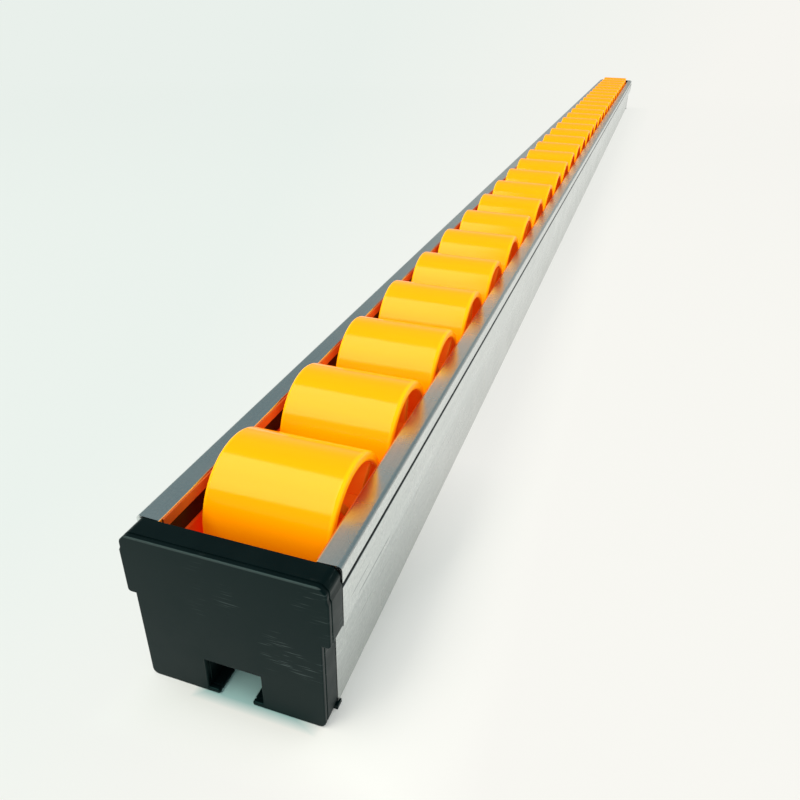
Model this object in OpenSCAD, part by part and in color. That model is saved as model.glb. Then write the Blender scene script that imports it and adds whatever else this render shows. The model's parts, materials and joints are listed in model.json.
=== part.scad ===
// Flow rack roller track: an extruded aluminium channel with free-turning rollers on steel pins.
// X runs across the track, Y along it and Z up. The origin is the middle of the underside.

/* [Rollers] */
// Distance from one roller axle to the next
roller_pitch = 32; // [30:0.5:60]
// Diameter of a roller over its tread
roller_d = 28; // [26:0.1:28.6]
// Width of a roller's tread
roller_w = 27; // [20:0.1:28]
// Radius of the tread's two outer edges
tread_edge_r = 0.8; // [0.4:0.1:2]
// Wall thickness of the roller's shell at its mouth
shell_t = 2.2; // [1.2:0.1:3]
// How much thicker the shell gets from its mouth down to the web
shell_draft = 0.4; // [0:0.1:1]
// Thickness of the web disc that joins shell and hub
web_t = 2.4; // [1.2:0.1:5]
// Outer diameter of the hub
hub_d = 9.5; // [7:0.1:12]
// Number of ribs in each end of a roller
rib_count = 4; // [3:1:9]
// Thickness of one rib
rib_t = 2; // [1:0.1:3]
// How far the ribs stop short of the tread's end plane
rib_recess = 0.6; // [0.4:0.1:4]
// Angle at which the first roller has come to rest
first_angle = 40; // [0:1:359]
// Further turn from one roller to the next, so that no two neighbours rest alike
turn_step = 137.5; // [0:0.5:359]

/* [Axles] */
// Diameter of a steel axle pin
pin_d = 4; // [3:0.1:5]
// How deep a pin end lies in its carrier
pin_seat = 2; // [1:0.1:2.4]
// Chamfer on the pin's ends
pin_chamfer = 0.4; // [0.1:0.1:0.8]

/* [Channel] */
// Width over the upper band of the channel
track_w = 40; // [39:0.1:44]
// How far the lower band steps in from the upper band on each side
band_step = 1.65; // [0.8:0.05:2]
// Height of the channel
track_h = 34.3; // [32:0.1:38]
// Height at which the upper band begins
band_z = 21; // [14:0.1:22]
// Thickness of the side walls
wall_t = 1.6; // [1.2:0.1:2]
// Width of a top flange, from the outside to its inner edge
flange_w = 4.8; // [4.2:0.1:5]
// Thickness of a top flange
flange_t = 1.6; // [1:0.1:2]
// Height of the lip on a flange's inner edge
lip_h = 2.9; // [2.2:0.1:3.4]
// Thickness of that lip
lip_t = 1.3; // [1:0.1:1.6]
// Radius of the outer top corner
corner_r = 0.9; // [0.4:0.1:1.4]
// Depth of the fine groove along each outer side
groove_d = 0.55; // [0.2:0.05:0.9]
// Depth of that groove's middle line below the channel's top
groove_drop = 4.1; // [2:0.1:8]
// Distance from the channel's end to the first axle
end_margin = 23; // [22:0.5:40]

/* [T-slot] */
// Width of the slot's opening in the underside
slot_w = 7; // [6:0.1:9]
// Width of the chamber behind it
chamber_w = 11.5; // [10.5:0.1:14]
// Height of the chamber's ceiling above the underside
chamber_z = 8.5; // [7:0.1:8.6]
// Thickness of the lips beside the slot
slot_lip_t = 1.4; // [1:0.1:2]
// Thickness of the web between the chamber and the rollers
floor_t = 1.7; // [1.2:0.1:1.8]

/* [Carriers] */
// Distance of a retainer's face behind the face of its carrier
retainer_back = 0.4; // [0.1:0.1:0.8]
// Length of the gap between a carrier's end and the channel's end
carrier_short = 1; // [0.5:0.5:4]
// Length of the relief pocket between two axle seats
relief_l = 16; // [8:0.5:20]
// Depth of that pocket
relief_d = 0.8; // [0.4:0.1:1.2]
// Height of the solid rim left above and below the pocket
relief_rim = 1.5; // [1:0.1:3]

/* [End caps] */
// Thickness of a cap's head
head_t = 5.4; // [3:0.1:8]
// Length of the plug that fills the channel's inside
plug_l = 6; // [4:0.1:7]
// Wall thickness of the hollow plug
plug_wall = 1.8; // [1.2:0.1:2.5]
// Length of the two tongues in the hollows beside the T-slot
tongue_l = 9; // [6:0.1:14]
// Chamfer round the head's front face
edge_break = 0.4; // [0.2:0.05:0.6]
// Size of the chamfers on the head's top corners and of the rounding at its foot
shoulder = 1.3; // [0.6:0.1:2]
// How far the head steps in above its band
head_step = 0.3; // [0.1:0.1:0.5]
// Radius of the rounded tips of the head's two lips beside the slot
tip_r = 0.5; // [0.3:0.05:0.6]
// Size of the nib behind each lower corner of the head
nib = 0.5; // [0.3:0.1:0.8]

/* [Clearances] */
// Radial running clearance between a roller's bore and its pin
run_clear = 0.05; // [0.02:0.01:0.09]
// Clearance of a pin in its seat
seat_clear = 0.03; // [0.01:0.01:0.08]
// End play between a roller's hub and each carrier
hub_play = 0.2; // [0.1:0.05:0.4]
// Gap between the rollers and the web under them
floor_gap = 0.7; // [0.4:0.1:2]
// Clearance of strips and plugs in the channel
slide_clear = 0.1; // [0.05:0.05:0.2]
// Gap between a cap's head and the channel's end
head_gap = 0.3; // [0.1:0.05:0.5]

/* [Hidden] */
$fn = 64;
roller_count = 30;
ROLLERS = [for (i = [1 : roller_count]) str("roller_", i < 10 ? "0" : "", i)];

rail_l = (roller_count - 1) * roller_pitch + 2 * end_margin;
band_x = track_w / 2;
foot_x = band_x - band_step;
band_in = band_x - wall_t;
foot_in = foot_x - wall_t;
face_x = band_x - flange_w;
foot_top = band_z - band_step;
lip_z = track_h - lip_h;
floor_z = chamber_z + floor_t;
axle_z = floor_z + floor_gap + roller_d / 2;
carrier_z = axle_z + pin_d / 2;
slot_x = slot_w / 2;
chamber_x = chamber_w / 2;
slot_wall = chamber_x + wall_t;
skin_z = wall_t;
foot_r = 0.5;
lip_r = 0.35;
groove_mouth = 0.7;
groove_root = 0.3;
groove_z = track_h - groove_drop;
groove_top = groove_z + groove_mouth / 2;
carrier_break = 0.3;
hub_w = 2 * (face_x - hub_play);
bore_r = pin_d / 2 + run_clear;
seat_r = pin_d / 2 + seat_clear;
cap_back = -rail_l / 2 - head_gap;
cap_front = cap_back - head_t;
over = 1;

// A stretch of arc as points, from angle a to angle b.
function arc(x, y, r, a, b, steps = 5) =
    [for (i = [0 : steps]) let (t = a + (b - a) * i / steps) [x + r * cos(t), y + r * sin(t)]];

// Distance of axle number i from the middle of the track.
function axle_y(i) = -rail_l / 2 + end_margin + (i - 1) * roller_pitch;

// Extrudes a section drawn in X and Z along the track, from y0 to y1.
module along(y0, y1) {
    translate([0, y1, 0]) rotate([90, 0, 0]) linear_extrude(height = y1 - y0) children();
}

module both_sides() {
    children();
    mirror([1, 0]) children();
}

// Right half of the channel's section: lip, T-slot wall, hollow foot, side wall and flange.
module channel_half() {
    difference() {
        polygon(concat(
            [[0, chamber_z], [chamber_x, chamber_z], [chamber_x, slot_lip_t]],
            [[slot_x, slot_lip_t], [slot_x, 0]],
            arc(foot_x - foot_r, foot_r, foot_r, -90, 0),
            [[foot_x, foot_top], [band_x, band_z]],
            [[band_x, groove_z - groove_mouth / 2], [band_x - groove_d, groove_z - groove_root / 2]],
            [[band_x - groove_d, groove_z + groove_root / 2], [band_x, groove_top]],
            arc(band_x - corner_r, track_h - corner_r, corner_r, 0, 90),
            arc(face_x + lip_r, track_h - lip_r, lip_r, 90, 180),
            [[face_x, lip_z], [face_x + lip_t, lip_z], [face_x + lip_t, track_h - flange_t]],
            [[band_in, track_h - flange_t], [band_in, band_z], [foot_in, foot_top]],
            [[foot_in, floor_z], [0, floor_z]]));
        polygon([[slot_wall, skin_z], [foot_in, skin_z], [foot_in, chamber_z], [slot_wall, chamber_z]]);
    }
}

module channel() {
    color("#B9C1BE")
        along(-rail_l / 2, rail_l / 2) both_sides() channel_half();
}

// Right half section of a carrier: it fills the wall's inside from the floor to above the axle.
module carrier_half() {
    polygon([
        [face_x, floor_z + slide_clear], [foot_in - slide_clear, floor_z + slide_clear],
        [foot_in - slide_clear, foot_top], [band_in - slide_clear, band_z],
        [band_in - slide_clear, carrier_z], [face_x + carrier_break, carrier_z],
        [face_x, carrier_z - carrier_break]]);
}

// Seat for one pin end, a U open to the top, drawn as the tool that cuts it.
module seat_cut() {
    depth = over + pin_seat + slide_clear;
    rotate([0, 90, 0]) cylinder(r = seat_r, h = depth);
    translate([0, -seat_r, 0]) cube([depth, 2 * seat_r, pin_d / 2 + over]);
}

// Shallow round-ended pocket in the carrier's face, drawn as the tool that cuts it.
module relief_cut() {
    r = (foot_top - floor_z) / 2 - relief_rim;
    for (end = [-1, 1]) translate([0, end * (relief_l / 2 - r), 0])
        rotate([0, 90, 0]) cylinder(r = r, h = over + relief_d);
    translate([0, r - relief_l / 2, -r]) cube([over + relief_d, relief_l - 2 * r, 2 * r]);
}

// Right carrier with a seat at every axle and a relief pocket between the seats.
module right_carrier() {
    difference() {
        along(-rail_l / 2 + carrier_short, rail_l / 2 - carrier_short) carrier_half();
        for (i = [1 : roller_count]) translate([face_x - over, axle_y(i), axle_z]) seat_cut();
        for (i = [1 : roller_count - 1])
            translate([face_x - over, axle_y(i) + roller_pitch / 2, (foot_top + floor_z) / 2])
                relief_cut();
    }
}

module right_axle_carrier() {
    color("#F0731A") right_carrier();
}

module left_axle_carrier() {
    color("#F0731A") mirror([1, 0, 0]) right_carrier();
}

// Right retainer section: it lies on the carrier, keeps the pins down and hooks behind the lip.
module retainer_half() {
    bottom = carrier_z + slide_clear;
    top = track_h - flange_t - slide_clear;
    polygon([
        [face_x + retainer_back, bottom], [band_in - slide_clear, bottom],
        [band_in - slide_clear, top], [face_x + lip_t + slide_clear, top],
        [face_x + lip_t + slide_clear, lip_z - slide_clear],
        [face_x + retainer_back, lip_z - slide_clear]]);
}

module right_retainer() {
    color("#17191B")
        along(-rail_l / 2 + carrier_short, rail_l / 2 - carrier_short) retainer_half();
}

module left_retainer() {
    color("#17191B") mirror([1, 0, 0])
        along(-rail_l / 2 + carrier_short, rail_l / 2 - carrier_short) retainer_half();
}

// Right half of the cap head's outline, which follows the channel with squarer steps.
module head_half() {
    crown_x = band_x - head_step;
    polygon(concat(
        [[0, chamber_z], [chamber_x, chamber_z], [chamber_x, 2 * tip_r]],
        arc(slot_x + tip_r, tip_r, tip_r, 90, 270),
        arc(foot_x - shoulder, shoulder, shoulder, -90, 0),
        [[foot_x, band_z], [band_x - head_step, band_z], [band_x, band_z + head_step]],
        [[band_x, groove_top], [crown_x, groove_top + 2 * head_step]],
        [[crown_x, track_h - shoulder], [crown_x - shoulder, track_h], [0, track_h]]));
}

// Plan of the head, with its two front corners broken.
module head_plan() {
    polygon([
        [-band_x, cap_back], [-band_x, cap_front + edge_break], [edge_break - band_x, cap_front],
        [band_x - edge_break, cap_front], [band_x, cap_front + edge_break], [band_x, cap_back]]);
}

// Side view of the head, with its top front edge broken.
module head_side() {
    polygon([
        [cap_front, -over], [cap_front, track_h - edge_break], [cap_front + edge_break, track_h],
        [cap_back, track_h], [cap_back, -over]]);
}

// Head of a cap: the solid that its three views share.
module cap_head() {
    intersection() {
        along(cap_front, cap_back) both_sides() head_half();
        linear_extrude(height = track_h) head_plan();
        translate([-band_x, 0, 0]) rotate([90, 0, 90]) linear_extrude(height = track_w) head_side();
    }
}

// Hollow plug of a cap, with two pockets, that fills the channel between the carriers.
module cap_plug() {
    plug_x = face_x - slide_clear;
    bottom = floor_z + slide_clear;
    height = carrier_z - bottom;
    length = over + head_gap + plug_l;
    difference() {
        translate([-plug_x, cap_back - over, bottom]) cube([2 * plug_x, length, height]);
        for (x = [plug_wall - plug_x, plug_wall / 2])
            translate([x, cap_back, bottom + plug_wall])
                cube([plug_x - 1.5 * plug_wall, length, height - 2 * plug_wall]);
    }
}

// Right foot of a cap: the tongue in the hollow beside the T-slot, and the nib at the corner.
module cap_foot() {
    tongue_x = slot_wall + slide_clear;
    tongue_z = skin_z + slide_clear;
    translate([tongue_x, cap_back - over, tongue_z])
        cube([foot_in - slide_clear - tongue_x, over + head_gap + tongue_l,
              chamber_z - slide_clear - tongue_z]);
    translate([foot_x - shoulder, cap_back - over, 0]) cube([shoulder + nib, over, 2 * nib]);
    translate([foot_x + slide_clear, cap_back - over, 0])
        cube([nib - slide_clear, over + head_gap + nib, 2 * nib]);
}

module front_cap() {
    cap_head();
    cap_plug();
    cap_foot();
    mirror([1, 0, 0]) cap_foot();
}

module front_end_cap() {
    color("#20282A") front_cap();
}

module rear_end_cap() {
    color("#20282A") mirror([0, 1, 0]) front_cap();
}

// Steel pins, one through each roller, with their ends in the two carriers.
module axle_pins() {
    half = face_x + pin_seat;
    color("#9AA0A3")
        for (i = [1 : roller_count]) translate([0, axle_y(i), axle_z]) rotate([0, 90, 0])
            rotate_extrude() polygon([
                [0, -half], [pin_d / 2 - pin_chamfer, -half], [pin_d / 2, -half + pin_chamfer],
                [pin_d / 2, half - pin_chamfer], [pin_d / 2 - pin_chamfer, half], [0, half]]);
}

// Roller turned about its own Z axis: shell with rounded edges, web and long hub, bored through.
module roller_body() {
    r = roller_d / 2;
    mouth_r = r - shell_t;
    root_r = mouth_r - shell_draft;
    half = roller_w / 2;
    rib_in = (hub_d / 2 + bore_r) / 2;
    rib_out = mouth_r + shell_t / 2;
    rotate_extrude() polygon(concat(
        [[bore_r, -hub_w / 2], [hub_d / 2, -hub_w / 2], [hub_d / 2, -web_t / 2]],
        [[root_r, -web_t / 2], [mouth_r, -half]],
        arc(r - tread_edge_r, -half + tread_edge_r, tread_edge_r, -90, 0, 6),
        arc(r - tread_edge_r, half - tread_edge_r, tread_edge_r, 0, 90, 6),
        [[mouth_r, half], [root_r, web_t / 2], [hub_d / 2, web_t / 2]],
        [[hub_d / 2, hub_w / 2], [bore_r, hub_w / 2]]));
    for (k = [0 : rib_count - 1]) rotate([0, 0, k * 360 / rib_count])
        translate([rib_in, -rib_t / 2, rib_recess - half])
            cube([rib_out - rib_in, rib_t, roller_w - 2 * rib_recess]);
}

// Roller number i in its place, turned by its own angle, as rollers that spin freely come to rest.
module roller(i) {
    rest_angle = first_angle + turn_step * (i - 1);
    color("#FDB813") translate([0, axle_y(i), axle_z]) rotate([rest_angle, 0, 0]) rotate([0, 90, 0])
        roller_body();
}

channel();
left_axle_carrier();
right_axle_carrier();
left_retainer();
right_retainer();
front_end_cap();
rear_end_cap();
axle_pins();
for (i = [1 : roller_count])
    roller(i);
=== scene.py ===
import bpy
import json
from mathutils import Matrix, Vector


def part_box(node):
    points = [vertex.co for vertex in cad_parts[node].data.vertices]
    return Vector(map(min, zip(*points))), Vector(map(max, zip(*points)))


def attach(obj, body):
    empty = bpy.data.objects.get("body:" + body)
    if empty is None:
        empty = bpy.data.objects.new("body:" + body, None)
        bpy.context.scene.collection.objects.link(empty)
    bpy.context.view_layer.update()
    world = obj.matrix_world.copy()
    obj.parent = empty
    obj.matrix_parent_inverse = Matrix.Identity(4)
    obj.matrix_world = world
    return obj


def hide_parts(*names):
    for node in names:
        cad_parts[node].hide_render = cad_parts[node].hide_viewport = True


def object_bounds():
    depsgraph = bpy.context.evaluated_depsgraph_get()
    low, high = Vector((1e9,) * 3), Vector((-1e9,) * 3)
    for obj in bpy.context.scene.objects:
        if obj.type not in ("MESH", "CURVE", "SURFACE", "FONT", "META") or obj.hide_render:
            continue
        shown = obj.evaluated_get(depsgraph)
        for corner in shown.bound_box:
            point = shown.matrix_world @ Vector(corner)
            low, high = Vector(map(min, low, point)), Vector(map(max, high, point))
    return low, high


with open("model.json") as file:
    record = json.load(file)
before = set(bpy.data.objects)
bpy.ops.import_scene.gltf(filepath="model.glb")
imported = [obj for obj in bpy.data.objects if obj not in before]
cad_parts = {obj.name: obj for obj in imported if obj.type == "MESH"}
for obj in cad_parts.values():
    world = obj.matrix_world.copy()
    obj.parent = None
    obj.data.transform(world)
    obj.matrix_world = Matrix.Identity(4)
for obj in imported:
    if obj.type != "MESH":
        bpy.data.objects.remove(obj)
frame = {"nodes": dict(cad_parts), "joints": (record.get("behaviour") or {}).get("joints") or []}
cad_box = [list(corner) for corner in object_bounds()]

import json
import math

import bmesh
import bpy
from mathutils import Matrix, Vector

# ---------------------------------------------------------------------------------------------
# Camera and studio. The track lies on a pale seamless sheet under soft light, seen from just
# above its front cap, slightly to the right and turned a little to the left. One soft lamp
# stands on the left, a weaker one hangs over the track and a low one faces its front cap.
MM = 0.001
front_y = cad_box[0][1]
near_front = (0, -0.45, 0)
cool_white, warm_white = "#E9F0EB", "#F6F5F0"
scene = bpy.context.scene
scene.view_settings.view_transform = "Standard"


def own(name, data):
    """Puts a new object into the scene."""
    made = bpy.data.objects.new(name, data)
    scene.collection.objects.link(made)
    return made


def turned(yaw, tilt, roll):
    """A camera's turn: yaw to the left, tilt down from level and roll, in degrees."""
    return (Matrix.Rotation(math.radians(yaw), 4, "Z")
            @ Matrix.Rotation(math.radians(90 - tilt), 4, "X")
            @ Matrix.Rotation(math.radians(roll), 4, "Z"))


camera_place = (55.4 * MM, front_y - 73.5 * MM, 114.4 * MM)
camera_turn = turned(yaw=18.22, tilt=29.33, roll=1.19)
camera = own("camera", bpy.data.cameras.new("camera"))
camera.data.lens = 31.53
camera.data.clip_start = 5 * MM
camera.matrix_world = Matrix.Translation(camera_place) @ camera_turn
scene.camera = camera


def colour(code):
    """Linear RGBA of an sRGB hex colour."""
    parts = [int(code[i:i + 2], 16) / 255 for i in (1, 3, 5)]
    return [p / 12.92 if p <= 0.04045 else ((p + 0.055) / 1.055) ** 2.4 for p in parts] + [1.0]


def add(tree, kind, inputs=(), **settings):
    """Adds a node: settings are its own attributes, inputs its sockets' values or links."""
    made = tree.nodes.new(kind)
    for name, value in settings.items():
        setattr(made, name, value)
    for socket, value in dict(inputs).items():
        if isinstance(value, bpy.types.NodeSocket):
            tree.links.new(value, made.inputs[socket])
        else:
            made.inputs[socket].default_value = value
    return made


def blank_material(name):
    """An empty material's tree with its output node."""
    made = bpy.data.materials.new(name)
    made.use_nodes = True
    made.node_tree.nodes.clear()
    return made, made.node_tree, add(made.node_tree, "ShaderNodeOutputMaterial")


# Matt paper sheet: it glows a little for the camera and for reflections, so that it stays pale,
# and its lit part keeps the track's shadow.
sheet, tree, out = blank_material("matt_paper_sheet")
place = add(tree, "ShaderNodeNewGeometry").outputs["Position"]
axes = add(tree, "ShaderNodeSeparateXYZ", {0: place})
from_front = add(tree, "ShaderNodeVectorMath", {0: place, 1: near_front},
                 operation="DISTANCE").outputs["Value"]
# Cooler on the track's left and warmer on its right.
reach = add(tree, "ShaderNodeMath", {0: from_front, 1: 0.15}, operation="ADD")
slant = add(tree, "ShaderNodeMath", {0: axes.outputs["X"], 1: reach.outputs[0]},
            operation="DIVIDE")
across = add(tree, "ShaderNodeMapRange", {0: slant.outputs[0], 1: -0.35, 2: 0.1})
tint = add(tree, "ShaderNodeMix", {0: across.outputs[0], 6: colour(cool_white),
                                   7: colour(warm_white)}, data_type="RGBA")
glow = add(tree, "ShaderNodeEmission", {"Color": tint.outputs[2], "Strength": 1.0})
path = add(tree, "ShaderNodeLightPath")
# How much of it glows: for the camera less near the track's front, where the shadow is, and for
# reflections less in front of the cap and far away.
seen = add(tree, "ShaderNodeMapRange", {0: from_front, 1: 0.35, 2: 1.2, 3: 0.88, 4: 1.0})
mirrored = add(tree, "ShaderNodeMapRange", {0: axes.outputs["Y"], 1: -0.5, 2: -0.3,
                                            3: 0.78, 4: 1.0})
glare = add(tree, "ShaderNodeMapRange", {0: from_front, 1: 1.2, 2: 2.0, 3: 1.0, 4: 0.4})
mirrored = add(tree, "ShaderNodeMath", {0: mirrored.outputs[0], 1: glare.outputs[0]},
               operation="MULTIPLY")
ahead = add(tree, "ShaderNodeMapRange", {0: axes.outputs["Y"], 1: -0.62, 2: -0.5, 3: 0.45, 4: 1.0})
mirrored = add(tree, "ShaderNodeMath", {0: mirrored.outputs[0], 1: ahead.outputs[0]},
               operation="MULTIPLY")
seen = add(tree, "ShaderNodeMath", {0: seen.outputs[0], 1: path.outputs["Is Camera Ray"]},
           operation="MULTIPLY")
mirrored = add(tree, "ShaderNodeMath", {0: mirrored.outputs[0], 1: path.outputs["Is Glossy Ray"]},
               operation="MULTIPLY")
share = add(tree, "ShaderNodeMath", {0: seen.outputs[0], 1: mirrored.outputs[0]}, operation="ADD",
            use_clamp=True)
# Under the track's front and close to its right only the lamps light the sheet, so the shadow
# stays deep there.
sideways = add(tree, "ShaderNodeMath", {0: axes.outputs["X"], 1: -2.0}, operation="MULTIPLY")
sideways = add(tree, "ShaderNodeMath", {0: axes.outputs["X"], 1: sideways.outputs[0]},
               operation="MAXIMUM")
beside = add(tree, "ShaderNodeMapRange", {0: sideways.outputs[0], 1: 12 * MM, 2: 48 * MM})
lengthways = add(tree, "ShaderNodeMath", {0: axes.outputs["Y"]}, operation="ABSOLUTE")
beyond = add(tree, "ShaderNodeMapRange", {0: lengthways.outputs[0], 1: -front_y,
                                          2: 15 * MM - front_y})
clear = add(tree, "ShaderNodeMath", {0: beside.outputs[0], 1: beyond.outputs[0]},
            operation="MAXIMUM")
farther = add(tree, "ShaderNodeMapRange", {0: axes.outputs["Y"], 1: -0.475, 2: -0.4, 4: 0.9})
clear = add(tree, "ShaderNodeMath", {0: clear.outputs[0], 1: farther.outputs[0]},
            operation="MAXIMUM")
share = add(tree, "ShaderNodeMath", {0: share.outputs[0], 1: clear.outputs[0]},
            operation="MULTIPLY")
# Painted shade: right under the track the sheet's lit part is drawn a darker cyan gray.
painted_shade_mask = add(tree, "ShaderNodeMapRange", {0: clear.outputs[0], 1: 0.0, 2: 0.15})
painted_shade_tint = add(tree, "ShaderNodeMix", {0: painted_shade_mask.outputs[0], 6: colour("#A3C8C4"), 7: tint.outputs[2]},
             data_type="RGBA")
lit = add(tree, "ShaderNodeBsdfDiffuse", {"Color": painted_shade_tint.outputs[2]})
mixed = add(tree, "ShaderNodeMixShader", {0: share.outputs[0], 1: lit.outputs[0],
                                          2: glow.outputs[0]})
tree.links.new(mixed.outputs[0], out.inputs["Surface"])
sheet.cycles.emission_sampling = "NONE"

floor_mesh = bpy.data.meshes.new("paper_sheet")
floor_mesh.from_pydata([(-30, -20, 0), (30, -20, 0), (30, 60, 0), (-30, 60, 0)], [], [(0, 1, 2, 3)])
floor = own("paper_sheet", floor_mesh)
floor_mesh.materials.append(sheet)

# The room: a pale screen round the sheet, and a dimmer gray room above it for the light and the
# reflections.
world = bpy.data.worlds.new("room")
scene.world = world
world.use_nodes = True
tree = world.node_tree
tree.nodes.clear()
toward = add(tree, "ShaderNodeTexCoord").outputs["Generated"]
axes = add(tree, "ShaderNodeSeparateXYZ", {0: toward})
across = add(tree, "ShaderNodeMapRange", {0: axes.outputs["X"], 1: -0.35, 2: 0.1})
screen = add(tree, "ShaderNodeMix", {0: across.outputs[0], 6: colour(cool_white),
                                     7: colour(warm_white)}, data_type="RGBA")
height = add(tree, "ShaderNodeMapRange", {0: axes.outputs["Z"], 1: 0.05, 2: 0.5})
path = add(tree, "ShaderNodeLightPath")
hidden = add(tree, "ShaderNodeMath", {0: 1.0, 1: path.outputs["Is Camera Ray"]},
             operation="SUBTRACT")
gray = add(tree, "ShaderNodeMath", {0: height.outputs[0], 1: hidden.outputs[0]},
           operation="MULTIPLY")
room = add(tree, "ShaderNodeMix", {0: gray.outputs[0], 6: screen.outputs[2], 7: colour("#75868A")},
           data_type="RGBA")
low_part = add(tree, "ShaderNodeMath", {0: 1.0, 1: height.outputs[0]}, operation="SUBTRACT")
mirrored = add(tree, "ShaderNodeMath", {0: path.outputs["Is Glossy Ray"], 1: low_part.outputs[0]},
               operation="MULTIPLY")
dimmed = add(tree, "ShaderNodeMapRange", {0: mirrored.outputs[0], 3: 1.0, 4: 0.6})
lowest = add(tree, "ShaderNodeMapRange", {0: axes.outputs["Z"], 1: 0.0, 2: 0.15, 3: 0.5, 4: 0.0})
lowest = add(tree, "ShaderNodeMath", {0: lowest.outputs[0], 1: path.outputs["Is Glossy Ray"]},
             operation="MULTIPLY")
dimmed = add(tree, "ShaderNodeMath", {0: dimmed.outputs[0], 1: lowest.outputs[0]},
             operation="SUBTRACT")
light = add(tree, "ShaderNodeBackground", {"Color": room.outputs[2], "Strength": dimmed.outputs[0]})
add(tree, "ShaderNodeOutputWorld", {"Surface": light.outputs[0]})


def softbox(name, place, target, width, depth, radiance, tint):
    """A soft rectangular lamp that faces its target; radiance 1 looks white."""
    lamp = own(name, bpy.data.lights.new(name, "AREA"))
    lamp.data.shape = "RECTANGLE"
    lamp.data.size = width
    lamp.data.size_y = depth
    lamp.data.energy = radiance * math.pi * width * depth
    lamp.data.color = colour(tint)[:3]
    back = (Vector(place) - Vector(target)).normalized()
    up = back.cross(Vector((1, 0, 0))).normalized()
    lamp.matrix_world = (Matrix.Translation(place)
                         @ Matrix((up.cross(back), up, back)).transposed().to_4x4())
    return lamp


softbox("left_lamp", (-0.58, -0.96, 1.3), near_front, 0.66, 1.6, 4.5, "#FFFAF0")
over = softbox("upper_lamp", (0.35, 0.0, 1.6), (0, 0, 0), 2.2, 2.4, 1.0, "#FFFFFF")
over.visible_glossy = False
low = softbox("front_lamp", (0.25, -2.2, 0.8), near_front, 1.4, 0.9, 2.6, "#FFFFFF")
low.visible_glossy = False

# ---------------------------------------------------------------------------------------------
# Channel: one aluminium extrusion, mill finish. Its walls hold the two roller strips, its top
# flanges turn down in lips that hook the strips, and its foot has a T-slot for bolt heads.
rail_low, rail_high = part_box("channel")
band_x = rail_high.x
band_step = 1.65 * MM
foot_x = band_x - band_step
track_h = rail_high.z
band_z = 21 * MM
wall_t = 1.6 * MM
face_x = band_x - 4.8 * MM
flange_t = 1.6 * MM
lip_h = 2.9 * MM
lip_t = 1.3 * MM
flange_dip = 0.15 * MM
groove_z = track_h - 4.1 * MM
groove_d = 0.55 * MM
groove_half = 0.6 * MM
slot_x = 3.5 * MM
chamber_x = 5.75 * MM
chamber_z = 8.5 * MM
slot_lip_t = 1.4 * MM
floor_z = chamber_z + 1.7 * MM
EASE = 0.12 * MM


def rounded(corners, steps=4):
    """An outline from corners (x, z, radius), each rounded by an arc."""
    outline = []
    for i, (x, z, radius) in enumerate(corners):
        here = Vector((x, z))
        if not radius:
            outline.append(here)
            continue
        back = (Vector(corners[i - 1][:2]) - here).normalized()
        ahead = (Vector(corners[(i + 1) % len(corners)][:2]) - here).normalized()
        half = back.angle(ahead) / 2
        centre = here + (back + ahead).normalized() * (radius / math.sin(half))
        start = here + back * (radius / math.tan(half)) - centre
        turn = start.angle_signed(here + ahead * (radius / math.tan(half)) - centre)
        for k in range(steps + 1):
            spoke = start.copy()
            spoke.rotate(Matrix.Rotation(-turn * k / steps, 2))
            outline.append(centre + spoke)
    return outline


def both_sides(half):
    """A whole section from its right half, which starts and ends on the middle line."""
    return half + [(-x, z, radius) for x, z, radius in reversed(half)]


def inset(outline, depth):
    """The outline drawn in by that depth all round."""
    area = sum(a.x * b.y - b.x * a.y for a, b in zip(outline, outline[1:] + outline[:1]))
    drawn = []
    for k, here in enumerate(outline):
        back = (here - outline[k - 1]).normalized()
        ahead = (outline[(k + 1) % len(outline)] - here).normalized()
        inward = [Vector((-d.y, d.x)) * math.copysign(1, area) for d in (back, ahead)]
        drawn.append(here + (inward[0] + inward[1]) * (depth / (1 + inward[0].dot(inward[1]))))
    return drawn


def extruded(outline, holes, stations):
    """A closed bar of that section, with its holes, through stations (y, how far drawn in)."""
    shape = bmesh.new()
    sections = []
    for y, depth in stations:
        loops = [inset(outline, depth) if depth else outline, *holes]
        sections.append([[shape.verts.new((p[0], y, p[1])) for p in loop] for loop in loops])
    for back, ahead in zip(sections, sections[1:]):
        for ring, following in zip(back, ahead):
            for k in range(len(ring)):
                shape.faces.new([ring[k - 1], ring[k], following[k], following[k - 1]])
    for loops in (sections[0], sections[-1]):
        if holes:
            rims = [shape.edges.get((ring[k - 1], ring[k]))
                    for ring in loops for k in range(len(ring))]
            bmesh.ops.triangle_fill(shape, edges=rims, use_beauty=True)
        else:
            shape.faces.new(loops[0])
    bmesh.ops.recalc_face_normals(shape, faces=shape.faces)
    return shape


def solid(name, shape, material):
    """Turns a bmesh into an object of one material."""
    mesh = bpy.data.meshes.new(name)
    shape.to_mesh(mesh)
    shape.free()
    mesh.materials.append(material)
    return own(name, mesh)


def finished(piece, body, slot, *nodes):
    """Shades a piece smooth between its edges, ties it to its body and lets it stand for nodes."""
    piece.data.polygons.foreach_set("use_smooth", [True] * len(piece.data.polygons))
    piece.data.set_sharp_from_angle(angle=math.radians(35))
    weighted = piece.modifiers.new("flat_faces", "WEIGHTED_NORMAL")
    weighted.keep_sharp = True
    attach(piece, body)
    if nodes:
        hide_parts(*nodes)


# Mill-finish aluminium: gray metal, drawn through its die, so fine lines run along it. Handling
# leaves small speckles and a few scratches.
mill_aluminium, tree, out = blank_material("mill_finish_aluminium")
here = add(tree, "ShaderNodeTexCoord").outputs["Object"]
# Die lines 0.25 mm apart and about 120 mm long.
along = add(tree, "ShaderNodeMapping", {0: here, 3: (1 / 0.25 / MM, 1 / 120 / MM, 1 / 0.25 / MM)})
lines = add(tree, "ShaderNodeTexNoise", {0: along.outputs[0], "Scale": 1.0, "Detail": 3.0})
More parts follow.
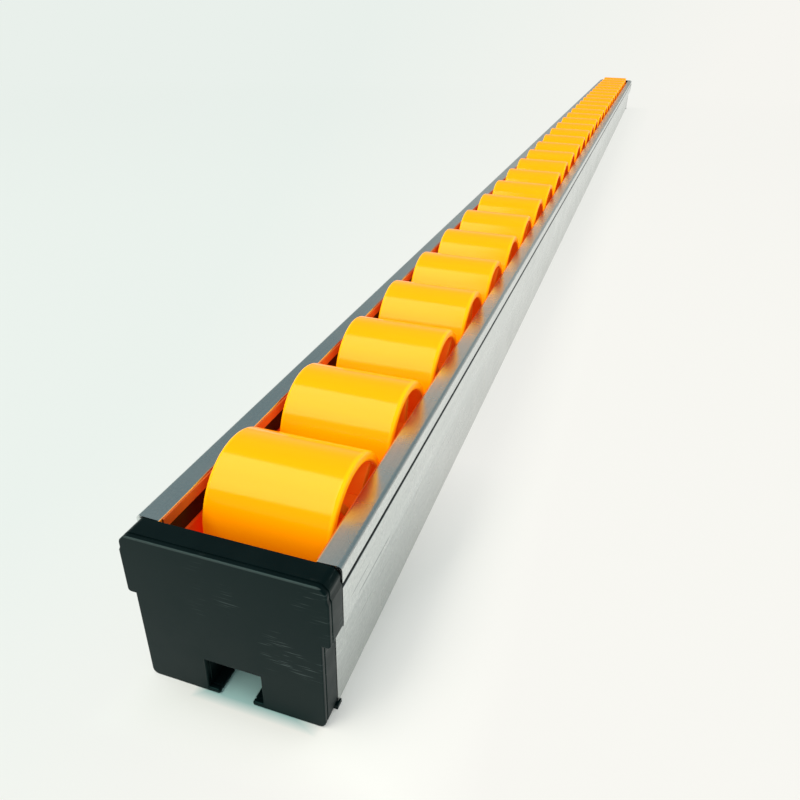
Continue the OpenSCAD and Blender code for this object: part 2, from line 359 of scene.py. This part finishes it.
# Speckles of 0.6 mm.
speck = add(tree, "ShaderNodeTexNoise", {0: here, "Scale": 1 / 0.6 / MM, "Detail": 3.0})
cloud = add(tree, "ShaderNodeTexNoise", {0: here, "Scale": 1 / 14 / MM, "Detail": 2.0})
grain = add(tree, "ShaderNodeMix", {0: 0.5, 2: lines.outputs[0], 3: speck.outputs[0]})
tone = add(tree, "ShaderNodeValToRGB", {0: grain.outputs[0]})
tone.color_ramp.elements[0].position = 0.35
tone.color_ramp.elements[0].color = colour("#C6CCCB")
tone.color_ramp.elements[1].position = 0.65
tone.color_ramp.elements[1].color = colour("#E0E4E2")
# Painted shade in the grooves along the walls: they are drawn nearly black.
axes = add(tree, "ShaderNodeSeparateXYZ", {0: here})
off_groove = add(tree, "ShaderNodeMath", {0: axes.outputs["Z"], 1: groove_z}, operation="SUBTRACT")
off_groove = add(tree, "ShaderNodeMath", {0: off_groove.outputs[0]}, operation="ABSOLUTE")
outward = add(tree, "ShaderNodeMath", {0: axes.outputs["X"]}, operation="ABSOLUTE")
at_height = add(tree, "ShaderNodeMapRange", {0: off_groove.outputs[0], 1: 0.5 * MM, 2: 0.6 * MM,
                                             3: 1.0, 4: 0.0})
at_wall = add(tree, "ShaderNodeMapRange", {0: outward.outputs[0], 1: band_x - 0.1 * MM,
                                           2: band_x - 0.03 * MM, 3: 1.0, 4: 0.0})
outside = add(tree, "ShaderNodeMapRange", {0: outward.outputs[0], 1: band_x - groove_d - 0.1 * MM,
                                           2: band_x - groove_d - 0.05 * MM})
painted_groove_shade = add(tree, "ShaderNodeMath", {0: at_height.outputs[0], 1: at_wall.outputs[0]},
           operation="MULTIPLY")
painted_groove_shade = add(tree, "ShaderNodeMath", {0: painted_groove_shade.outputs[0], 1: outside.outputs[0]},
           operation="MULTIPLY")
painted_groove_shade = add(tree, "ShaderNodeMath", {0: painted_groove_shade.outputs[0], 1: 0.92}, operation="MULTIPLY")
# This colour carries real scratches and painted light: groove shade, foot shade and a paler top.
marks_and_painted_light = add(tree, "ShaderNodeMix", {0: painted_groove_shade.outputs[0], 6: tone.outputs[0], 7: colour("#1C2021")},
             data_type="RGBA")
# Handling scratches: thin dark lines some 50 mm long, only in patches of 30 mm.
scored = add(tree, "ShaderNodeMapping", {0: here, 2: (0.012, 0, 0),
                                         3: (1 / 0.5 / MM, 1 / 50 / MM, 1 / 0.5 / MM)})
scored = add(tree, "ShaderNodeTexNoise", {0: scored.outputs[0], "Scale": 1.0, "Detail": 1.0})
scored = add(tree, "ShaderNodeMapRange", {0: scored.outputs[0], 1: 0.7, 2: 0.74})
patch = add(tree, "ShaderNodeTexNoise", {0: here, "Scale": 1 / 30 / MM, "Detail": 1.0})
patch = add(tree, "ShaderNodeMapRange", {0: patch.outputs[0], 1: 0.5, 2: 0.56, 3: 0.0, 4: 0.55})
scored = add(tree, "ShaderNodeMath", {0: scored.outputs[0], 1: patch.outputs[0]},
             operation="MULTIPLY")
below_top = add(tree, "ShaderNodeMath", {0: axes.outputs["Z"], 1: track_h - MM},
                operation="LESS_THAN")
scored = add(tree, "ShaderNodeMath", {0: scored.outputs[0], 1: below_top.outputs[0]},
             operation="MULTIPLY")
# Two long marks near the front, from sliding into a rack: height, start, end, strength.
for z, start, end, strength in ((22.1, -481, -462, 0.85), (24.6, -484, -474, 0.5)):
    off = add(tree, "ShaderNodeMath", {0: axes.outputs["Z"], 1: z * MM}, operation="SUBTRACT")
    off = add(tree, "ShaderNodeMath", {0: off.outputs[0]}, operation="ABSOLUTE")
    thin = add(tree, "ShaderNodeMapRange", {0: off.outputs[0], 1: 0.08 * MM, 2: 0.18 * MM,
                                            3: strength, 4: 0.0})
    middle = add(tree, "ShaderNodeMath", {0: axes.outputs["Y"], 1: (start + end) / 2 * MM},
                 operation="SUBTRACT")
    middle = add(tree, "ShaderNodeMath", {0: middle.outputs[0]}, operation="ABSOLUTE")
    inside = add(tree, "ShaderNodeMapRange", {0: middle.outputs[0], 1: (end - start) / 3 * MM,
                                              2: (end - start) / 2 * MM, 3: 1.0, 4: 0.0})
    mark = add(tree, "ShaderNodeMath", {0: thin.outputs[0], 1: inside.outputs[0]},
               operation="MULTIPLY")
    scored = add(tree, "ShaderNodeMath", {0: scored.outputs[0], 1: mark.outputs[0]},
                 operation="MAXIMUM")
marks_and_painted_light = add(tree, "ShaderNodeMix", {0: scored.outputs[0], 6: marks_and_painted_light.outputs[2],
                                     7: colour("#4C5556")}, data_type="RGBA")
# The walls are painted darker towards the foot: painted shade, for the shadowed floor they reflect
# there.
foot = add(tree, "ShaderNodeMapRange", {0: axes.outputs["Z"], 2: 20 * MM, 3: 0.3, 4: 0.0})
marks_and_painted_light = add(tree, "ShaderNodeMix", {0: foot.outputs[0], 6: marks_and_painted_light.outputs[2],
                                     7: colour("#8E8A80")}, data_type="RGBA")
matt = add(tree, "ShaderNodeMapRange", {0: cloud.outputs[0], 1: 0.3, 2: 0.7, 3: 0.24, 4: 0.31})
ripple = add(tree, "ShaderNodeBump", {"Strength": 0.25, "Distance": 0.02 * MM,
                                      "Height": grain.outputs[0]})
# The top flanges are painted paler, a painted sheen. A bump with a slope of 1 in 4, or 14 degrees,
# dishes them towards the rollers.
on_top = add(tree, "ShaderNodeMath", {0: axes.outputs["Z"], 1: track_h - 0.6 * MM},
             operation="GREATER_THAN")
painted_highlight = add(tree, "ShaderNodeMath", {0: on_top.outputs[0], 1: 0.4}, operation="MULTIPLY")
marks_and_painted_light = add(tree, "ShaderNodeMix", {0: painted_highlight.outputs[0], 6: marks_and_painted_light.outputs[2],
                                     7: colour("#F4F6F5")}, data_type="RGBA")
dish = add(tree, "ShaderNodeMath", {0: outward.outputs[0], 1: on_top.outputs[0]},
           operation="MULTIPLY")
dish = add(tree, "ShaderNodeMath", {0: dish.outputs[0], 1: 0.25}, operation="MULTIPLY")
ripple = add(tree, "ShaderNodeBump", {"Strength": 1.0, "Distance": 1.0, "Height": dish.outputs[0],
                                      "Normal": ripple.outputs[0]})
metal = add(tree, "ShaderNodeBsdfPrincipled", {
    "Base Color": marks_and_painted_light.outputs[2], "Metallic": 1.0, "Roughness": matt.outputs[0],
    "Normal": ripple.outputs[0]})
tree.links.new(metal.outputs[0], out.inputs["Surface"])

half_section = [
    (chamber_x, chamber_z, EASE), (chamber_x, slot_lip_t, EASE),
    (slot_x, slot_lip_t, EASE), (slot_x, 0, EASE),
    (foot_x, 0, 0.5 * MM), (foot_x, band_z - band_step, EASE), (band_x, band_z, EASE),
    (band_x, groove_z - groove_half, EASE / 2), (band_x - groove_d, groove_z - EASE, EASE / 2),
    (band_x - groove_d, groove_z + EASE, EASE / 2), (band_x, groove_z + groove_half, EASE / 2),
    (band_x, track_h, 0.9 * MM),
    (face_x, track_h - flange_dip, 0.35 * MM), (face_x, track_h - lip_h, EASE),
    (face_x + lip_t, track_h - lip_h, EASE), (face_x + lip_t, track_h - flange_t, EASE),
    (band_x - wall_t, track_h - flange_t, EASE), (band_x - wall_t, band_z, EASE),
    (foot_x - wall_t, band_z - band_step, EASE), (foot_x - wall_t, floor_z, 0.4 * MM)]
cell = [(chamber_x + wall_t, wall_t, EASE * 2), (foot_x - wall_t, wall_t, EASE * 2),
        (foot_x - wall_t, chamber_z, EASE * 2), (chamber_x + wall_t, chamber_z, EASE * 2)]
cells = [rounded([(side * x, z, radius) for x, z, radius in cell]) for side in (1, -1)]
bar = extruded(rounded(both_sides(half_section)), cells,
               [(rail_low.y, 0), (rail_high.y, 0)])
finished(solid("channel", bar, mill_aluminium), "track", "mill_aluminium", "channel")

# ---------------------------------------------------------------------------------------------
# Axle carriers: two moulded orange strips that line the walls. Each has an open seat for every
# axle and a shallow pocket between the seats.
orange_strip, tree, out = blank_material("moulded_orange_polypropylene")
here = add(tree, "ShaderNodeTexCoord").outputs["Object"]
grain = add(tree, "ShaderNodeTexNoise", {0: here, "Scale": 1 / 0.5 / MM, "Detail": 2.0})
cloud = add(tree, "ShaderNodeTexNoise", {0: here, "Scale": 1 / 9 / MM, "Detail": 2.0})
tone = add(tree, "ShaderNodeMix", {0: cloud.outputs[0], 6: colour("#F05210"), 7: colour("#FA6618")},
           data_type="RGBA")
skin = add(tree, "ShaderNodeBump", {"Strength": 0.15, "Distance": 0.03 * MM,
                                    "Height": grain.outputs[0]})
# Painted light: the strips glow a faint red-orange, so that they stay bright in their shade.
plastic = add(tree, "ShaderNodeBsdfPrincipled", {
    "Base Color": tone.outputs[2], "Roughness": 0.38, "IOR": 1.49, "Normal": skin.outputs[0],
    "Emission Color": colour("#FF3C0A"), "Emission Strength": 0.09})
tree.links.new(plastic.outputs[0], out.inputs["Surface"])
orange_strip.cycles.emission_sampling = "NONE"


def dress(node, material):
    """Gives a CAD node its finish."""
    piece = frame["nodes"][node]
    piece.data.materials.clear()
    piece.data.materials.append(material)


for side in ("left", "right"):
    dress(side + "_axle_carrier", orange_strip)

# Painted reflection: a thin extruded orange sheet covers the inner face of each lip and stands for
# the rollers' orange that the aluminium reflects there. It is a browner orange and glows a little,
# which is painted light too.
reflection_sheet_t = 0.25 * MM
reflection_sheet_grip = 0.05 * MM
painted_reflection_sheet = orange_strip.copy()
painted_reflection_sheet.name = "extruded_orange_pvc"
for node in painted_reflection_sheet.node_tree.nodes:
    if node.type == "BSDF_PRINCIPLED":
        node.inputs["Emission Color"].default_value = colour("#E6501A")
        node.inputs["Emission Strength"].default_value = 0.05
    if node.type == "MIX":
        node.inputs[6].default_value = colour("#C8561C")
        node.inputs[7].default_value = colour("#D66428")
for side, sign in (("left", -1), ("right", 1)):
    inner, outer = sign * (face_x - reflection_sheet_t), sign * (face_x + reflection_sheet_grip)
    low, high = track_h - lip_h + 0.15 * MM, track_h - flange_dip - 0.35 * MM
    strip = rounded([(inner, low, 0.1 * MM), (outer, low, 0), (outer, high, 0),
                     (inner, high, 0.1 * MM)])
    strip = extruded(strip, [], [(rail_low.y + MM, 0), (rail_high.y - MM, 0)])
    finished(solid(side + "_lip_liner", strip, painted_reflection_sheet), "track", "orange_carrier")

# ---------------------------------------------------------------------------------------------
# Retainers: two extruded black strips over the carriers, hooked behind the flange lips. They
# keep the axles in their seats.
black_strip, tree, out = blank_material("extruded_black_pvc")
here = add(tree, "ShaderNodeTexCoord").outputs["Object"]
along = add(tree, "ShaderNodeMapping", {0: here, 3: (1 / 0.3 / MM, 1 / 60 / MM, 1 / 0.3 / MM)})
lines = add(tree, "ShaderNodeTexNoise", {0: along.outputs[0], "Scale": 1.0, "Detail": 2.0})
matt = add(tree, "ShaderNodeMapRange", {0: lines.outputs[0], 3: 0.35, 4: 0.55})
tone = add(tree, "ShaderNodeMix", {0: lines.outputs[0], 6: colour("#050304"), 7: colour("#0C090A")},
           data_type="RGBA")
plastic = add(tree, "ShaderNodeBsdfPrincipled", {
    "Base Color": tone.outputs[2], "Roughness": matt.outputs[0], "IOR": 1.53,
    "Specular IOR Level": 0.3})
tree.links.new(plastic.outputs[0], out.inputs["Surface"])
for side in ("left", "right"):
    dress(side + "_retainer", black_strip)

# ---------------------------------------------------------------------------------------------
# End caps: moulded black ABS. The head closes the channel's end and repeats its outline with
# squarer steps; behind it a hollow plug and two tongues push into the channel.
cap_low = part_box("front_end_cap")[0]
head_gap = 0.3 * MM
head_step = 0.3 * MM
shoulder = 1.3 * MM
tip_r = 0.5 * MM
rim_break = 0.3 * MM
# The mould's split line round the head: distance behind the front and depth, in millimetres.
split_line = ((0.85, 0), (0.95, 0.2), (1.25, 0.2), (1.35, 0))
slide_clear = 0.1 * MM
axle_z = frame["joints"][0]["pos_m"][2]
plug_top = axle_z + 2 * MM
plug_wall = 1.8 * MM
plug_l = 6 * MM
tongue_l = 9 * MM
nib = 0.5 * MM
cap_back = rail_low.y - head_gap

black_abs, tree, out = blank_material("moulded_black_abs")
here = add(tree, "ShaderNodeTexCoord").outputs["Object"]
# Faint waves of 7 mm where the thick head has sunk, and an eroded mould skin of 0.2 mm.
sink = add(tree, "ShaderNodeTexNoise", {0: here, "Scale": 1 / 7 / MM, "Detail": 2.0})
skin = add(tree, "ShaderNodeTexNoise", {0: here, "Scale": 1 / 0.2 / MM, "Detail": 2.0})
tone = add(tree, "ShaderNodeMix", {0: sink.outputs[0], 6: colour("#030A0B"), 7: colour("#071213")},
           data_type="RGBA")
matt = add(tree, "ShaderNodeMapRange", {0: sink.outputs[0], 1: 0.3, 2: 0.7, 3: 0.3, 4: 0.42})
rough = add(tree, "ShaderNodeBump", {"Strength": 0.12, "Distance": 0.02 * MM,
                                     "Height": skin.outputs[0]})
# Pale scuffs: slanting lines 5 mm long, only in patches of 9 mm.
scuff = add(tree, "ShaderNodeMapping", {0: here, 2: (0, -0.95, 0),
                                        3: (1 / 5 / MM, 1 / 3 / MM, 1 / 0.22 / MM)})
scuff = add(tree, "ShaderNodeTexNoise", {0: scuff.outputs[0], "Scale": 1.0, "Detail": 1.0})
scuff = add(tree, "ShaderNodeMapRange", {0: scuff.outputs[0], 1: 0.62, 2: 0.72})
patch = add(tree, "ShaderNodeTexNoise", {0: here, "Scale": 1 / 9 / MM, "Detail": 1.0})
patch = add(tree, "ShaderNodeMapRange", {0: patch.outputs[0], 1: 0.5, 2: 0.62, 3: 0.0, 4: 0.3})
scuff = add(tree, "ShaderNodeMath", {0: scuff.outputs[0], 1: patch.outputs[0]},
            operation="MULTIPLY")
worn_side = add(tree, "ShaderNodeMapRange", {
    0: add(tree, "ShaderNodeSeparateXYZ", {0: here}).outputs["X"], 1: -8 * MM, 2: 10 * MM})
scuff = add(tree, "ShaderNodeMath", {0: scuff.outputs[0], 1: worn_side.outputs[0]},
            operation="MULTIPLY")
tone = add(tree, "ShaderNodeMix", {0: scuff.outputs[0], 6: tone.outputs[2], 7: colour("#7D8A88")},
           data_type="RGBA")
# The front's top edge is painted pale: a painted highlight along it.
axes = add(tree, "ShaderNodeSeparateXYZ", {0: here})
outward = add(tree, "ShaderNodeMath", {0: axes.outputs["Y"]}, operation="ABSOLUTE")
at_front = add(tree, "ShaderNodeMapRange", {0: outward.outputs[0], 1: -cap_low.y - 0.3 * MM,
                                            2: -cap_low.y - 0.2 * MM})
at_top = add(tree, "ShaderNodeMapRange", {0: axes.outputs["Z"], 1: track_h - 0.35 * MM,
                                          2: track_h - 0.25 * MM, 3: 0.0, 4: 0.2})
painted_highlight = add(tree, "ShaderNodeMath", {0: at_front.outputs[0], 1: at_top.outputs[0]},
             operation="MULTIPLY")
tone = add(tree, "ShaderNodeMix", {0: painted_highlight.outputs[0], 6: tone.outputs[2], 7: colour("#74817E")},
           data_type="RGBA")
plastic = add(tree, "ShaderNodeBsdfPrincipled", {
    "Base Color": tone.outputs[2], "Roughness": matt.outputs[0], "IOR": 1.5,
    "Specular IOR Level": 0.14, "Specular Tint": (0.35, 1.0, 0.95, 1.0),
    "Normal": rough.outputs[0]})
tree.links.new(plastic.outputs[0], out.inputs["Surface"])

crown_x = band_x - head_step
groove_top = groove_z + groove_half
half_head = [
    (chamber_x, chamber_z, 0), (chamber_x, 2 * tip_r, 0),
    (slot_x, 2 * tip_r, tip_r * 0.8), (slot_x, 0, tip_r * 0.8),
    (foot_x, 0, shoulder), (foot_x, band_z, 0),
    (band_x, band_z, 0.7 * MM), (band_x, groove_top, 0),
    (crown_x, groove_top + 2 * head_step, 0), (crown_x, track_h - shoulder, shoulder),
    (crown_x - shoulder, track_h, shoulder)]


def box_loop(x0, x1, z0, z1, radius=EASE):
    """A rectangle with rounded corners."""
    return rounded([(x0, z0, radius), (x1, z0, radius), (x1, z1, radius), (x0, z1, radius)], 3)


def cap_parts():
    """The head, plug, tongues and nibs of the front cap, as closed solids that overlap."""
    rim = [math.radians(angle) for angle in (90, 67, 45, 22, 0)]
    head = extruded(rounded(both_sides(half_head)), [], [
        *((cap_low.y + rim_break * (1 - math.sin(a)), rim_break * (1 - math.cos(a))) for a in rim),
        *((cap_low.y + y * MM, depth * MM) for y, depth in split_line), (cap_back, 0)])
    inside = face_x - slide_clear
    low = floor_z + slide_clear
    pockets = [box_loop(x, x + inside - 1.5 * plug_wall, low + plug_wall, plug_top - plug_wall)
               for x in (plug_wall - inside, plug_wall / 2)]
    start = cap_back - MM
    parts = [head, extruded(box_loop(-inside, inside, low, plug_top), pockets,
                            [(cap_back - MM / 2, 0), (rail_low.y + plug_l, 0)])]
    for side in (1, -1):
        near = side * (chamber_x + wall_t + slide_clear)
        far = side * (foot_x - wall_t - slide_clear)
        parts.append(extruded(box_loop(near, far, wall_t + slide_clear, chamber_z - slide_clear),
                              [], [(start, 0), (rail_low.y + tongue_l, 0)]))
        inner, outer = side * (foot_x - shoulder), side * (foot_x + nib)
        parts.append(extruded(box_loop(inner, outer, 0, 2 * nib), [], [(start, 0), (cap_back, 0)]))
        parts.append(extruded(box_loop(side * (foot_x + slide_clear), outer, 0, 2 * nib), [],
                              [(cap_back - MM / 2, 0), (rail_low.y + nib, 0)]))
    return parts


def joined(parts):
    """One mesh of several closed solids, united where they overlap."""
    objects = []
    for part in parts:
        mesh = bpy.data.meshes.new("part")
        part.to_mesh(mesh)
        part.free()
        objects.append(own("part", mesh))
    for other in objects[1:]:
        unite = objects[0].modifiers.new("unite", "BOOLEAN")
        unite.operation = "UNION"
        unite.solver = "EXACT"
        unite.object = other
    depsgraph = bpy.context.evaluated_depsgraph_get()
    shape = bmesh.new()
    shape.from_object(objects[0], depsgraph)
    for part in objects:
        bpy.data.objects.remove(part)
    bmesh.ops.remove_doubles(shape, verts=shape.verts, dist=MM / 1000)
    bmesh.ops.dissolve_degenerate(shape, edges=shape.edges, dist=MM / 1000)
    return shape


for name, turn in (("front_end_cap", 0), ("rear_end_cap", math.pi)):
    shape = joined(cap_parts())
    bmesh.ops.rotate(shape, matrix=Matrix.Rotation(turn, 3, "Z"), verts=shape.verts)
    finished(solid(name, shape, black_abs), "track", "black_cap", name)

# ---------------------------------------------------------------------------------------------
# Axles: drawn steel pins with chamfered ends, fixed in the carriers' seats.
steel, tree, out = blank_material("drawn_steel")
here = add(tree, "ShaderNodeTexCoord").outputs["Object"]
along = add(tree, "ShaderNodeMapping", {0: here, 3: (1 / 8 / MM, 1 / 0.1 / MM, 1 / 0.1 / MM)})
lines = add(tree, "ShaderNodeTexNoise", {0: along.outputs[0], "Scale": 1.0, "Detail": 2.0})
tone = add(tree, "ShaderNodeMix", {0: lines.outputs[0], 6: colour("#A9ADAF"), 7: colour("#C4C8CA")},
           data_type="RGBA")
matt = add(tree, "ShaderNodeMapRange", {0: lines.outputs[0], 3: 0.22, 4: 0.36})
metal = add(tree, "ShaderNodeBsdfPrincipled", {
    "Base Color": tone.outputs[2], "Metallic": 1.0, "Roughness": matt.outputs[0]})
tree.links.new(metal.outputs[0], out.inputs["Surface"])
dress("axle_pins", steel)

# ---------------------------------------------------------------------------------------------
# Rollers: moulded orange acetal, one piece each: a tread with a web inside and a long hub, and
# four ribs in each end. The hollow ends are painted red-orange: painted light, for the light that
# comes through the plastic.
roller_r = (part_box("roller_01")[1].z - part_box("roller_01")[0].z) / 2
tread_half = 13.5 * MM
hub_half = face_x - 0.2 * MM
hub_r = 4.75 * MM
bore_r = 2.05 * MM
shell_t = 2.2 * MM
shell_draft = 0.4 * MM
web_half = 1.2 * MM
rib_count = 4
rib_t = 2 * MM
rib_recess = 0.6 * MM
# Each roller stands at its own angle: degrees of the first, and from one to the next.
first_angle = 40
turn_step = 137.5

axle_y = [joint["pos_m"][1] for joint in frame["joints"]]
pitch = axle_y[1] - axle_y[0]

acetal, tree, out = blank_material("moulded_orange_acetal")
here = add(tree, "ShaderNodeTexCoord").outputs["Object"]
# Distance from the roller's own axle: the rollers repeat every pitch.
axes = add(tree, "ShaderNodeSeparateXYZ", {0: here})
repeat = add(tree, "ShaderNodeMath", {0: axes.outputs["Y"], 1: axle_y[0] + pitch / 2,
                                      2: axle_y[0] - pitch / 2}, operation="WRAP")
from_axle_y = add(tree, "ShaderNodeMath", {0: repeat.outputs[0], 1: axle_y[0]},
                  operation="SUBTRACT")
from_axle_z = add(tree, "ShaderNodeMath", {0: axes.outputs["Z"], 1: axle_z}, operation="SUBTRACT")
spoke = add(tree, "ShaderNodeCombineXYZ", {"Y": from_axle_y.outputs[0],
                                           "Z": from_axle_z.outputs[0]})
radius = add(tree, "ShaderNodeVectorMath", {0: spoke.outputs[0]}, operation="LENGTH")
hollow = add(tree, "ShaderNodeMapRange", {0: radius.outputs["Value"], 1: roller_r - 2.1 * MM,
                                          2: roller_r - 1.5 * MM, 3: 1.0, 4: 0.0})
# Flow marks: bands of 3 mm across the tread, 40 mm long, and a fine skin of 0.4 mm.
bands = add(tree, "ShaderNodeMapping", {0: here, 3: (1 / 40 / MM, 1 / 3 / MM, 1 / 3 / MM)})
flow = add(tree, "ShaderNodeTexNoise", {0: bands.outputs[0], "Scale": 1.0, "Detail": 2.0})
skin = add(tree, "ShaderNodeTexNoise", {0: here, "Scale": 1 / 0.4 / MM, "Detail": 2.0})
tread = add(tree, "ShaderNodeMix", {0: flow.outputs[0], 6: colour("#FFAA00"), 7: colour("#FFB200")},
            data_type="RGBA")
# Painted light: the tread's thin edges are painted yellower, for the light that comes through them.
sideways = add(tree, "ShaderNodeMath", {0: axes.outputs["X"]}, operation="ABSOLUTE")
edge = add(tree, "ShaderNodeMapRange", {0: sideways.outputs[0], 1: tread_half - MM,
                                        2: tread_half - 0.3 * MM})
tread = add(tree, "ShaderNodeMix", {0: edge.outputs[0], 6: tread.outputs[2], 7: colour("#FFCC08")},
            data_type="RGBA")
# Painted light: the hollow ends are drawn a redder orange.
tone = add(tree, "ShaderNodeMix", {0: hollow.outputs[0], 6: tread.outputs[2], 7: colour("#FF8420")},
           data_type="RGBA")
# Painted light: the rollers glow orange, 0.45 on the tread and 0.1 in the hollow ends, so that they
# stay bright orange in their shade.
through = add(tree, "ShaderNodeMapRange", {0: hollow.outputs[0], 3: 0.45, 4: 0.1})
matt = add(tree, "ShaderNodeMapRange", {0: flow.outputs[0], 1: 0.3, 2: 0.7, 3: 0.12, 4: 0.15})
smooth = add(tree, "ShaderNodeBump", {"Strength": 0.06, "Distance": 0.02 * MM,
                                      "Height": skin.outputs[0]})
plastic = add(tree, "ShaderNodeBsdfPrincipled", {
    "Base Color": tone.outputs[2], "Roughness": matt.outputs[0], "IOR": 1.48,
    "Specular IOR Level": 0.34, "Specular Tint": (1.0, 1.0, 0.5, 1.0),
    "Emission Color": colour("#FF6000"), "Emission Strength": through.outputs[0],
    "Normal": smooth.outputs[0]})
tree.links.new(plastic.outputs[0], out.inputs["Surface"])
acetal.cycles.emission_sampling = "NONE"


def roller_tree():
    """Geometry Nodes: sweeps the section round the axle, adds ribs and sets the roller in place."""
    tree = bpy.data.node_groups.new("roller", "GeometryNodeTree")
    sizes = {"Rib count": "NodeSocketInt", "Rib thickness": "NodeSocketFloat",
             "Rib depth": "NodeSocketFloat", "Rib start": "NodeSocketFloat",
             "Rib end": "NodeSocketFloat", "Spin": "NodeSocketFloat", "Place": "NodeSocketVector",
             "Material": "NodeSocketMaterial"}
    tree.interface.new_socket("Section", in_out="INPUT", socket_type="NodeSocketGeometry")
    for name, kind in sizes.items():
        tree.interface.new_socket(name, in_out="INPUT", socket_type=kind)
    tree.interface.new_socket("Roller", in_out="OUTPUT", socket_type="NodeSocketGeometry")
    given = add(tree, "NodeGroupInput").outputs

    section = add(tree, "GeometryNodeMeshToCurve", {"Mesh": given["Section"]})
    around = add(tree, "GeometryNodeCurvePrimitiveCircle", {"Resolution": 96, "Radius": MM / 100})
    body = add(tree, "GeometryNodeCurveToMesh",
               {"Curve": around.outputs["Curve"], "Profile Curve": section.outputs["Curve"]})

    start = add(tree, "ShaderNodeCombineXYZ", {"X": given["Rib start"]})
    end = add(tree, "ShaderNodeCombineXYZ", {"X": given["Rib end"]})
    reach = add(tree, "GeometryNodeCurvePrimitiveLine",
                {"Start": start.outputs[0], "End": end.outputs[0]})
    plate = add(tree, "GeometryNodeCurvePrimitiveQuadrilateral",
                {"Width": given["Rib thickness"], "Height": given["Rib depth"]})
    eased = add(tree, "GeometryNodeFilletCurve",
                {"Curve": plate.outputs[0], "Radius": 0.35 * MM, "Count": 3}, mode="POLY")
    rib = add(tree, "GeometryNodeCurveToMesh", {
        "Curve": reach.outputs[0], "Profile Curve": eased.outputs[0], "Fill Caps": True})
    points = add(tree, "GeometryNodePoints", {"Count": given["Rib count"]})
    number = add(tree, "GeometryNodeInputIndex")
    part = add(tree, "ShaderNodeMath", {0: number.outputs[0], 1: given["Rib count"]},
               operation="DIVIDE")
    angle = add(tree, "ShaderNodeMath", {0: part.outputs[0], 1: 2 * math.pi}, operation="MULTIPLY")
    turn = add(tree, "ShaderNodeCombineXYZ", {"Z": angle.outputs[0]})
    ribs = add(tree, "GeometryNodeInstanceOnPoints", {
        "Points": points.outputs[0], "Instance": rib.outputs[0], "Rotation": turn.outputs[0]})
    apart = add(tree, "GeometryNodeRealizeInstances", {0: ribs.outputs[0]})
    whole = add(tree, "GeometryNodeMeshBoolean", {"Mesh 2": body.outputs[0]},
                operation="UNION", solver="EXACT")
    tree.links.new(apart.outputs[0], whole.inputs["Mesh 2"])
    lying = add(tree, "GeometryNodeTransform", {
        "Geometry": whole.outputs[0], "Rotation": (0, math.pi / 2, 0)})
    spin = add(tree, "ShaderNodeCombineXYZ", {"X": given["Spin"]})
    placed = add(tree, "GeometryNodeTransform", {
        "Geometry": lying.outputs[0], "Rotation": spin.outputs[0], "Translation": given["Place"]})
    real = add(tree, "GeometryNodeRealizeInstances", {0: placed.outputs[0]})
    dressed = add(tree, "GeometryNodeSetMaterial", {
        "Geometry": real.outputs[0], "Material": given["Material"]})
    add(tree, "NodeGroupOutput", {"Roller": dressed.outputs[0]})
    return tree


root_r = roller_r - shell_t - shell_draft
section = rounded([
    (bore_r, -hub_half, 0.3 * MM), (hub_r, -hub_half, 0.3 * MM), (hub_r, -web_half, 0.5 * MM),
    (root_r, -web_half, 0.5 * MM), (roller_r - shell_t, -tread_half, 0.4 * MM),
    (roller_r, -tread_half, 0.8 * MM), (roller_r, tread_half, 0.8 * MM),
    (roller_r - shell_t, tread_half, 0.4 * MM), (root_r, web_half, 0.5 * MM),
    (hub_r, web_half, 0.5 * MM), (hub_r, hub_half, 0.3 * MM), (bore_r, hub_half, 0.3 * MM)], 5)
line = bpy.data.meshes.new("roller_section")
line.from_pydata([(r, x, 0) for r, x in section],
                 [(k, (k + 1) % len(section)) for k in range(len(section))], [])
roller_nodes = roller_tree()
sockets = {item.name: item.identifier for item in roller_nodes.interface.items_tree}
values = {"Rib count": rib_count, "Rib thickness": rib_t,
          "Rib depth": 2 * (tread_half - rib_recess), "Rib start": (hub_r + bore_r) / 2,
          "Rib end": roller_r - shell_t / 2,
          "Material": acetal}
for i, joint in enumerate(frame["joints"]):
    name = joint["name"].replace("_spin", "")
    roller = own(name, line)
    modifier = roller.modifiers.new("roller", "NODES")
    modifier.node_group = roller_nodes
    values["Spin"] = math.radians(first_angle + turn_step * i)
    values["Place"] = joint["pos_m"]
    for size, value in values.items():
        modifier[sockets[size]] = value
    made = bpy.data.meshes.new_from_object(
        roller.evaluated_get(bpy.context.evaluated_depsgraph_get()))
    roller.modifiers.clear()
    shape = bmesh.new()
    shape.from_mesh(made)
    bmesh.ops.remove_doubles(shape, verts=shape.verts, dist=MM / 1000)
    bmesh.ops.recalc_face_normals(shape, faces=shape.faces)
    shape.to_mesh(made)
    shape.free()
    roller.data = made
    finished(roller, joint["child"], "orange_roller", name)
